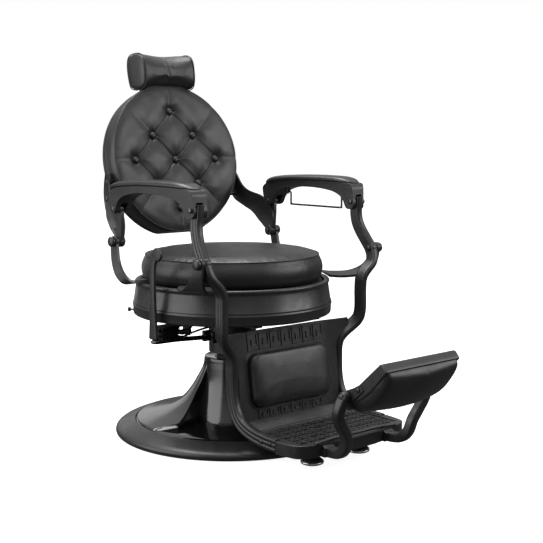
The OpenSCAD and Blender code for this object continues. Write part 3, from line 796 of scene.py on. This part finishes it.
def plan_edge(y):
    """The casting's outer and inner x at y: both ends are rounded in plan, more at the rear."""
    rear = max(0.0, (y - 110) / 76)
    front = max(0.0, (-202 - y) / 36)
    drop = 15 * min(rear, 1) ** 2 + 9 * min(front, 1) ** 3
    return ARM_X + ARM_W / 2 - drop, ARM_X - ARM_W / 2 + 0.5 * drop


def build_armrest(side_name, sign, body):
    top, under = spline(FRAME_TOP, 5), spline(FRAME_UNDER, 5)
    outline = [tuple(p) for p in top] + [tuple(p) for p in under]
    verts = [(plan_edge(y)[k], y, z) for k in (1, 0) for y, z in outline]
    shape = mirror((verts, prism_faces(len(outline))), sign)
    piece = casting("armrest_casting_" + side_name, shape, body, "armrest_frame_" + side_name)
    gap = 11
    slots = []
    for y0, y1, z1 in ((-290, -190, 715), (118, 215, 699)):
        xs = sorted((sign * (ARM_X - gap), sign * (ARM_X + gap)))
        slots.append(((xs[0], y0, 640), (xs[1], y1, z1)))
    cut(piece, *slots)
    bevel(piece, 5.0, 4, 42)
    pins = []
    for at, out in ((FRONT_PIN, ARM_X + ARM_W / 2 - 3), (REAR_PIN, ARM_X + ARM_W / 2 - 6)):
        pins += [mirror(eye(7, out - 1, out + 3.5, at, 1.2, 6), sign),
                 mirror(eye(7, ARM_X - ARM_W / 2 - 1, ARM_X - ARM_W / 2 + 4, at, 1.2, 6), sign),
                 mirror(eye(5, ARM_X - 20, ARM_X + 20, at, 1), sign)]
    make("armrest_bolts_" + side_name, *merged(*pins), DARK_STEEL, body, "cast_black", ["armrest_pins_" + side_name])
    build_arm_pad(side_name, sign, body)


def build_arm_pad(side_name, sign, body):
    top = spline(FRAME_TOP, 8)
    crown = spline(PAD_TOP, 8)
    order = np.argsort(top[:, 0])
    rear_y, front_y = 180, -224
    rows = []
    for u in (1 - np.cos(np.linspace(0, math.pi, 41))) / 2:
        y = rear_y + (front_y - rear_y) * u
        base = float(np.interp(y, top[order, 0], top[order, 1])) + 0.5
        high = float(np.interp(-y, -crown[:, 0], crown[:, 1]))
        rim = min(1.0, math.sqrt(max(1 - (abs(2 * u - 1)) ** 9, 0)) + 0.02)
        half = 35 * rim
        tall = max(high - base, 2) * (0.35 + 0.65 * rim)
        ring = []
        for a in np.linspace(0, math.pi, 15):
            ca = math.cos(a)
            ring.append((ARM_X + half * math.copysign(abs(ca) ** 0.55, ca), y, base + tall * math.sin(a) ** 0.62))
        ring += [(ARM_X - half * k, y, base - 0.4) for k in (0.8, 0.3, -0.3, -0.8)]
        rows.append(ring)
    pad = make("arm_cushion_" + side_name, *mirror(tube(rows), sign), PAD, body, "pad_vinyl", ["arm_pad_" + side_name])
    subdivide(pad)


def build_towel_bar():
    x, z0, z1 = 283, 674, 714
    path = [(x, 84, z1), (x, 62, z1), (x, 54, z1 - 2), (x, 52, z1 - 8), (x, 52, z0 + 8), (x, 50, z0 + 2), (x, 44, z0),
            (x, -60, z0), (x, -170, z0), (x, -176, z0 + 2), (x, -178, z0 + 8), (x, -178, z1 - 8), (x, -180, z1 - 2),
            (x, -186, z1), (x, -199, z1)]
    make("towel_wire", *sweep(spline(path, 4), circle(3, 14)), DARK_STEEL, "towel_rail", "cast_black", ["towel_bar"])
    lugs = []
    for y in (70, -191):
        lugs.append(slab([(y - 6, 706), (y + 6, 706), (y + 8, 729), (y - 8, 729)], x - 5, x + 5))
    bevel(casting("towel_lugs", merged(*lugs), "armrest_l"), 2, 3)


# ---------------------------------------------------------------- leg frame

BAR_SIDE = [(-227, 710), (-226, 690), (-224, 660), (-228, 632), (-241, 604), (-256, 582), (-275, 553), (-286, 520),
            (-285, 490), (-283, 460), (-282, 430), (-282, 380), (-275, 348), (-256, 314), (-248, 284), (-246, 230),
            (-250, 176), (-264, 134), (-290, 106), (-336, 89), (-390, 82), (-438, 80)]
BAR_FRONT = [(298, 710), (298, 690), (302, 634), (309, 586), (312, 548), (304, 518), (279, 494), (264, 472), (262, 440),
             (262, 376), (255, 345), (217, 307), (202, 280), (200, 230), (200, 60)]


def bar_section(w, d, side_sign):
    """A flat bar's section: rounded front, two flutes in the outer face."""
    outer = []
    for v in np.linspace(-0.5, 0.5, 25):
        flute = 1.5 * (math.exp(-((v - 0.17) / 0.075) ** 2) + math.exp(-((v + 0.17) / 0.075) ** 2))
        corner = 3.5 * max(0, (abs(v) - 0.36) / 0.14) ** 2.2
        outer.append((w / 2 - flute - corner, v * d))
    inner = [(-w / 2 + 3.0 * max(0, (abs(v) - 0.38) / 0.12) ** 2, v * d) for v in np.linspace(0.5, -0.5, 15)]
    return [(side_sign * a, b) for a, b in outer + inner]


def build_leg_bar(side_name, sign):
    side_path = spline(BAR_SIDE, 6)
    front_path = spline(BAR_FRONT, 6)
    order = np.argsort(front_path[:, 1])
    xs = np.interp(side_path[:, 1], front_path[order, 1], front_path[order, 0])
    path = [(x, y, z) for x, (y, z) in zip(xs, side_path)]
    bar = sweep(path, bar_section(21, 36, 1))
    part = merged(bar, eye(16.5, 302.5, 321.5, FRONT_PIVOT, 2.5), eye(14, 288.5, 307.5, FRONT_PIN, 2.5))
    piece = casting("leg_bar_casting_" + side_name, mirror(part, sign), "leg_frame", "leg_bar_" + side_name)
    sharp_by_angle(piece, 55)


PANEL_TILT = math.radians(8.8)
PANEL_Y, PANEL_Z = -271, 99
CALF_MID = 114
PANEL_EDGE = [(189.5, 16), (189.5, 90), (189.5, 172), (196, 188), (208, 202), (222, 216), (229, 228), (229, 252)]


def on_panel(x, s, t):
    """x across, s up the calf panel, t out to its front."""
    ca, sa = math.cos(PANEL_TILT), math.sin(PANEL_TILT)
    return (x, PANEL_Y + s * sa - t * ca, PANEL_Z + s * ca + t * sa)


KEY = [(0, 0), (0, 1), (0.82, 1), (0.82, 0.3), (0.34, 0.3), (0.34, 0.64), (0.6, 0.64)]


def key_ridges(x0, s0, pitch, tall, count, place, width=2.6):
    """A meander band: a run of square spirals as raised ridges."""
    parts = []
    half = width / 2
    for k in range(count):
        points = [(x0 + k * pitch + u * pitch * 0.95, s0 + v * tall) for u, v in KEY]
        parts += [place(min(a[0], b[0]) - half, max(a[0], b[0]) + half, min(a[1], b[1]) - half, max(a[1], b[1]) + half)
                  for a, b in zip(points, points[1:])]
    return parts


def build_calf_panel():
    fold = 142
    verts = []
    rows = [0, 6, 16, 60, 110, 160, 172, 190, 205, 222, 240, 254]

    for t0 in (3, -3):
        for s in rows:
            reach = float(np.interp(s, [p[1] for p in PANEL_EDGE], [p[0] for p in PANEL_EDGE])) if s > 14 else 176 + s
            turn = 0.34 * s / 254
            middle = np.linspace(-fold + 20, fold - 20, 8)
            for x in np.concatenate([np.linspace(-reach, -fold, 4), middle, np.linspace(fold, reach, 4)]):
                verts.append(on_panel(x, s, t0 + max(0, abs(x) - fold) * turn))
    panel = casting("calf_plate", (verts, two_sided(len(rows), 16)), "leg_frame", "calf_panel")
    bevel(panel, 1.6, 3, 50)

    def relief(x0, x1, s0, s1):
        return block(on_panel, (x0, x1), (s0, s1), (2.5, 5.6))

    ridges = key_ridges(-139, 199, 41.5, 46, 7, relief) + key_ridges(-123, 8, 41, 22, 6, relief)
    frame_w, frame_h = 150, 79
    border = []
    for grow, t in ((0, 3), (0, 5), (4, 5), (6, 3)):
        ring = rounded_box(2 * (frame_w + grow), 2 * (frame_h + grow), 36 + grow, 10)
        border.append([on_panel(x, CALF_MID + s, t) for x, s in ring])
    count = len(border[0])
    rim = [v for ring in border for v in ring], grid_faces(4, count, close_cols=True)
    bands = casting("calf_plate_relief", merged(*ridges, rim), "leg_frame")
    bevel(bands, 0.5, 1)
    sharp_by_angle(bands, 40)
    loops = [(1.0, 3), (1.0, 11), (0.992, 18), (0.965, 23.5), (0.9, 27), (0.75, 29.5), (0.45, 31), (0.1, 31.5)]
    rings = [[on_panel(x * k, CALF_MID + s * k, t) for x, s in rounded_box(292, 154, 34, 10)] for k, t in loops]
    calf = upholstery("calf_cushion_cover", tube(rings), "leg_frame", "calf_cushion")
    puff(calf, 4.5, 3.0, 5.0, lambda p: np.clip((PANEL_Y - p[:, 1] - 8) / 12 + 0.4, 0, 1))


PLATE_TOP, PLATE_BOTTOM = 95, 60


def build_platform():
    half = [(0, -334), (150, -334), (190, -337), (190.5, -440), (212, -441), (210, -470), (203, -508), (197, -517),
            (176, -531), (160, -535), (140, -536), (110, -535), (96, -541), (60, -546), (0, -548)]
    outline = half + [(-x, y) for x, y in half[-2:0:-1]]
    verts = [(x, y, z) for z in (PLATE_BOTTOM, PLATE_TOP) for x, y in outline]
    plate = casting("foot_plate", (verts, prism_faces(len(outline))), "leg_frame", "foot_platform")
    cut(plate, ((-184, -507, 90), (184, -346, 99)), ((-150, -420, 50), (150, -300, 78)))
    bevel(plate, 3.0, 3, 40)

    def tread(x0, x1, y0, y1):
        return block(lambda *corner: corner, (x0, x1), (y0, y1), (89, 93.6))

    parts = []
    for y in (-501, -470, -439, -408, -377):
        parts += key_ridges(-177, y, 32.4, 24, 11, tread, 3.4)
    ridges = casting("foot_plate_tread", merged(*parts), "leg_frame")
    bevel(ridges, 0.8, 2)
    path = spline([(-150, -531, 96), (-110, -532, 99), (-70, -538, 103), (0, -541, 104), (70, -538, 103), (110, -532, 99),
                   (150, -531, 96)], 6)
    heel = [(-345, 92), (-310, 96), (-280, 101), (-268, 106)]
    heel = slab([tuple(p) for p in spline(heel, 4)] + [(y, z - 4) for y, z in spline(heel, 4)[::-1]], -168, 168)
    # the heel strip's lighter grey is a painted reflection
    bevel(make("heel_strip", *heel, SHEET, "leg_frame", "cast_black"), 1.2, 2, 50)
    lip = sweep(path, rounded_box(9, 12, 4), side=(0, 0, 1))
    casting("foot_plate_lip", lip, "leg_frame")
    bolts, feet, rims = [], [], []
    for sign in (1, -1):
        for y in (-383, -418):
            bolts.append(mirror(eye(6.5, 208.5, 213, (y, 81), 1.4, 24), sign))
        foot = [(0, 62), (15, 62), (15, 34), (20, 29), (27, 26), (29, 24), (29, 17), (27, 13.2), (0, 13.2)]
        feet.append(revolve(foot, 48, (sign * 88, -452, 0)))
        rim = [(27.5, 23), (31.2, 22.5), (32.2, 19), (31.2, 15.5), (28, 14.4), (27.5, 18), (27.5, 23)]
        rims.append(revolve(rim, 48, (sign * 88, -452, 0)))
    make("bar_end_bolts", *merged(*bolts), DARK_STEEL, "leg_frame", "cast_black", ["bar_bolts"])
    make("stop_feet_rubber", *merged(*feet), RUBBER, "leg_frame", "rubber_black", ["stop_feet"])
    make("stop_feet_rims", *merged(*rims), STEEL, "leg_frame", "bright_steel")


ARM_SIDE = [(-505, 72), (-548, 72), (-588, 78), (-611, 100), (-619, 132), (-622, 160), (-627, 190), (-634, 218),
            (-639, 241)]
ARM_XS = [113, 114, 116, 119, 126, 146, 163, 161, 153]


def build_pad_arms():
    parts = []
    for sign in (1, -1):
        path = spline([(x, y, z) for x, (y, z) in zip(ARM_XS, ARM_SIDE)], 7)
        section = rounded_box(26, 28, 7)
        parts.append(mirror(merged(sweep(path, section), eye(14, 143, 162, PAD_PIVOT, 3)), sign))
        socket = slab([(-500, 58), (-546, 58), (-550, 64), (-550, 84), (-540, 90), (-500, 92)], 96, 131)
        parts.append(mirror(socket, sign))
    bevel(casting("pad_arm_castings", merged(*parts), "leg_frame", "pad_arms"), 3, 3, 50)


# ---------------------------------------------------------------- leg pad

PAD_PIVOT = (-639, 241)
PAD_TURN = math.radians(-42)


def on_pad(x, y, z):
    ca, sa = math.cos(PAD_TURN), math.sin(PAD_TURN)
    return (x, PAD_PIVOT[0] + y * ca - z * sa, PAD_PIVOT[1] + y * sa + z * ca)


def pad_part(part):
    verts, faces = part
    return [on_pad(*v) for v in verts], faces


PAD_LINE = [(-150, -26), (-146, -35), (-134, -43), (-104, -51), (-64, -56), (-26, -52), (4, -42), (20, -28), (25, -16)]


def build_leg_pad():
    outline = [(-152, -27), (-152, -4), (-149, 1), (-142, 3), (20, 3), (25, 1), (27, -4), (27, -11), (-3, -24), (-39, -32),
               (-82, -33), (-120, -29)]
    tray = slab(outline, -138, 138)
    piece = make("leg_pad_casting", *pad_part(tray), RING, "leg_pad", "cast_black", ["leg_pad_tray"])
    bevel(piece, 4.0, 4, 35)
    line = spline(PAD_LINE, 5)
    rows = []
    for y, z in line:
        along = max(0, 1 - ((y + 62) / 89) ** 2) ** 0.7
        row = []
        for x in np.linspace(-136, 136, 49):
            crown = 17 * (1 - (x / 136) ** 2) * along
            edge = max(0, (abs(x) - 122) / 14)
            row.append((x, y, z - crown + (1 - math.sqrt(max(1 - edge**2, 0))) * (z + 12) * -0.75))
        rows.append(row)
    verts = [v for row in rows for v in row]
    verts += [(x, y, -8) for x, y, z in verts]
    pad = upholstery("leg_pad_cover", pad_part((verts, two_sided(len(rows), 49))), "leg_pad", "leg_pad_cushion")
    puff(pad, 5.0, 3.0, 3.0, free)
    parts = []
    for sign in (1, -1):
        plate = slab([(-56, -19), (-56, 0), (-30, 6), (-8, 14), (8, 13), (14, 6), (14, -8), (4, -19)], 138, 141.5)
        bolt = merged(eye(8, 162, 168, (0, 0), 2), eye(6, 141, 145, (-42, -8), 1.5), eye(4, 141, 163, (0, 0), 1))
        parts.append(mirror(merged(plate, bolt), sign))
    bevel(casting("leg_pad_hinge_plates", pad_part(merged(*parts)), "leg_pad", "leg_pad_hinges"), 0.8, 2, 50)


# ---------------------------------------------------------------- carried-over nodes, stage, camera


def paint_nodes():
    """Materials for the CAD nodes that show as they are."""
    # painted shade: the plywood board under the cushion gets the black rubber material, standing in for the dark gap in
    # shadow under the cushion
    chosen = {"bright_steel": STEEL, "bronze": BRONZE, "rubber_black": RUBBER, "plywood": RUBBER, "black_leather": LEATHER,
              "pad_vinyl": PAD, "gloss_black": GLOSS, "cast_black": CAST}
    slots = {row["node"]: row["material_slot"] for row in frame["record"]["subparts"]}
    special = {"pump_housing": RING, "pump_cylinder": DARK_STEEL, "headrest_posts": STEEL, "pump_knob": STEEL}
    for name, obj in frame["nodes"].items():
        obj.data.materials.clear()
        obj.data.materials.append(special.get(name, chosen[slots[name]]))


def area_light(name, place, aim, size, power, size_y=None):
    data = bpy.data.lights.new(name, "AREA")
    data.energy = power
    data.size = size
    if size_y:
        data.shape = "RECTANGLE"
        data.size_y = size_y
    obj = bpy.data.objects.new(name, data)
    bpy.context.scene.collection.objects.link(obj)
    obj.location = place
    obj.rotation_euler = (Vector(aim) - Vector(place)).to_track_quat("-Z", "Y").to_euler()


def build_world():
    """A white studio: what lights the chair is a softer sky, brighter overhead than at the horizon."""
    world = bpy.data.worlds.new("studio")
    bpy.context.scene.world = world
    world.use_nodes = True
    tree = world.node_tree
    back_drop = tree.nodes["Background"]
    back_drop.inputs["Color"].default_value = (1, 1, 1, 1)
    back_drop.inputs["Strength"].default_value = 1.0
    sky = tree.nodes.new("ShaderNodeBackground")
    coord = tree.nodes.new("ShaderNodeTexCoord")
    split = tree.nodes.new("ShaderNodeSeparateXYZ")
    ramp = tree.nodes.new("ShaderNodeValToRGB")
    ramp.color_ramp.elements[0].position = 0.0
    ramp.color_ramp.elements[0].color = (0.1, 0.1, 0.1, 1)
    ramp.color_ramp.elements[1].position = 0.9
    ramp.color_ramp.elements[1].color = (0.9, 0.9, 0.9, 1)
    path = tree.nodes.new("ShaderNodeLightPath")
    mix = tree.nodes.new("ShaderNodeMixShader")
    tree.links.new(coord.outputs["Generated"], split.inputs[0])
    tree.links.new(split.outputs["Z"], ramp.inputs["Fac"])
    tree.links.new(ramp.outputs["Color"], sky.inputs["Color"])
    tree.links.new(path.outputs["Is Camera Ray"], mix.inputs["Fac"])
    tree.links.new(sky.outputs[0], mix.inputs[1])
    tree.links.new(back_drop.outputs[0], mix.inputs[2])
    tree.links.new(mix.outputs[0], tree.nodes["World Output"].inputs["Surface"])


def build_stage():
    mesh = bpy.data.meshes.new("studio_floor")
    side = 14.0
    mesh.from_pydata([(-side, -side, 0), (side, -side, 0), (side, side, 0), (-side, side, 0)], [], [(0, 1, 2, 3)])
    floor = bpy.data.objects.new("studio_floor", mesh)
    bpy.context.scene.collection.objects.link(floor)
    n = Nodes("pale_floor")
    color = n.ramp(n.noise(2, 2), 0.3, 0.8, (0.5, 0.5, 0.5), (0.52, 0.52, 0.52))
    mesh.materials.append(n.shade(color, Roughness=0.9, Emission_Color=(1, 1, 1, 1), Emission_Strength=0.9))
    floor.visible_glossy = False
    floor.visible_diffuse = False
    build_world()
    bpy.context.scene.view_settings.view_transform = "Standard"
    area_light("side_panel", (-2.6, 1.15, 1.15), (0, 1.15, 1.15), 3.4, 62, 2.3)
    area_light("overhead", (-0.2, 0.6, 3.6), (0, 0, 0), 3.0, 190)
    area_light("front_panel", (2.1, -2.5, 1.75), (0, 0.1, 0.85), 2.6, 48, 1.7)
    area_light("low_rear_panel", (0.55, 1.45, 0.42), (-0.15, 0, 0.1), 1.5, 1.3, 0.5)


def build_camera():
    place = Vector((-2.0307, -2.5421, 0.8989))
    target = Vector((0.124, -0.037, 0.478))
    data = bpy.data.cameras.new("camera")
    data.sensor_width = 36
    data.lens = 72.13
    obj = bpy.data.objects.new("camera", data)
    bpy.context.scene.collection.objects.link(obj)
    obj.location = place
    obj.rotation_euler = (target - place).to_track_quat("-Z", "Y").to_euler()
    bpy.context.scene.camera = obj


build_camera()
paint_nodes()
build_base()
build_seat()
build_levers()
build_back()
build_armrest("left", 1, "armrest_l")
build_armrest("right", -1, "armrest_r")
build_towel_bar()
build_leg_bar("left", 1)
build_leg_bar("right", -1)
build_calf_panel()
build_platform()
build_pad_arms()
build_leg_pad()
build_stage()
